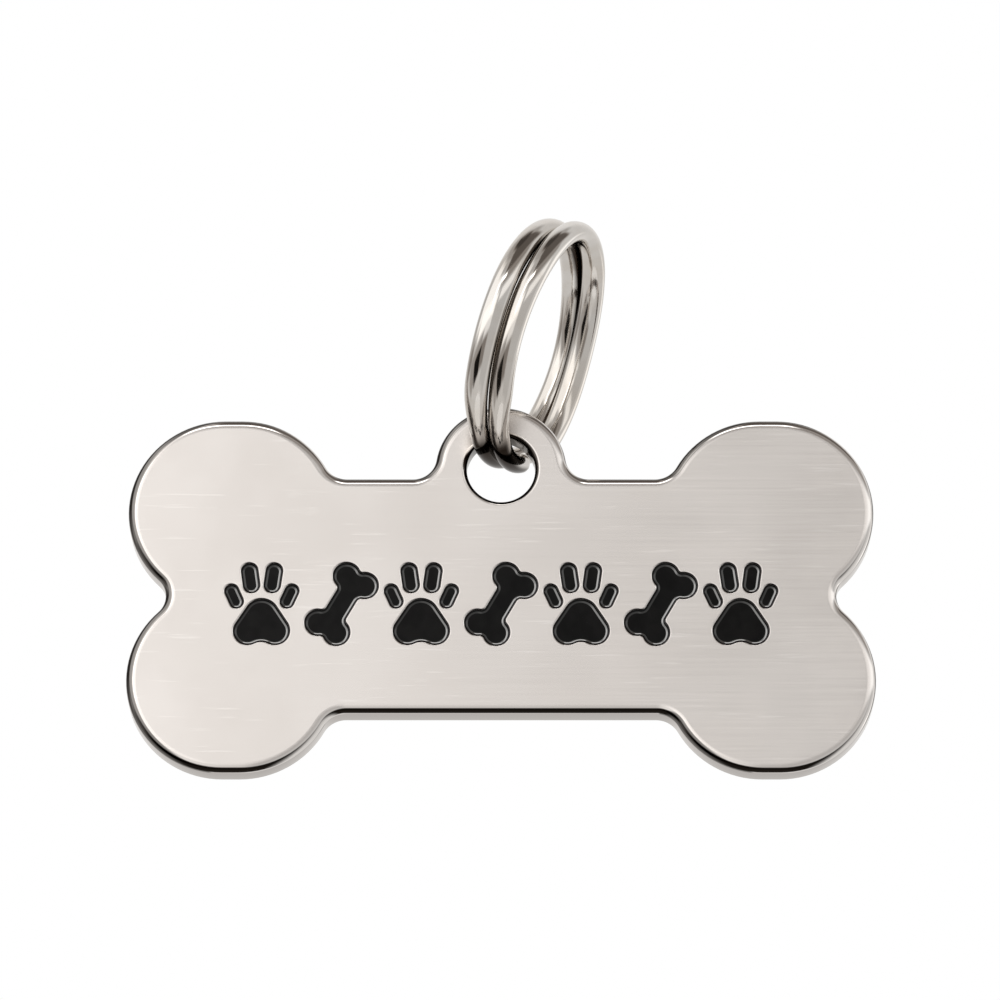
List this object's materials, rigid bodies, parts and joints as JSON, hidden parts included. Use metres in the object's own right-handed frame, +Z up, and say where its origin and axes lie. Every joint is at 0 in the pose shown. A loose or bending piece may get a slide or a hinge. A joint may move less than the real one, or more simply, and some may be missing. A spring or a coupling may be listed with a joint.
{
  "type": "pet id tag",
  "caption": "Bone-shaped steel pet tag with black enamel paw and bone motifs, swinging by its tab on a two-turn split ring.",
  "frame": {"origin": "inner top of the split ring, where the collar's loop bears and the tag hangs", "axes": "+X along the width of the plate, to the right seen from the front; -Y out of the plate's front face; +Z up, against gravity"},
  "size_m": [0.05, 0.0165, 0.0379],
  "materials": {
    "steel": "satin, finely brushed along the width, with polished edges",
    "nickel": "nickel plate, polished, with warm reflections",
    "enamel": "glossy black enamel fill"
  },
  "bodies": {
    "ring": {"split_ring": "nickel"},
    "tag": {"tag_plate": "steel", "enamel_paw_1": "enamel", "enamel_paw_2": "enamel", "enamel_paw_3": "enamel", "enamel_paw_4": "enamel", "enamel_bone_1": "enamel", "enamel_bone_2": "enamel", "enamel_bone_3": "enamel"}
  },
  "joints": [
    {"name": "tag_swing", "type": "hinge", "parent": "ring", "child": "tag", "pos_m": [-0.00463, 0.00241, -0.01511], "axis": [0, 1, 0], "range_deg": [-52, 90]}
  ]
}
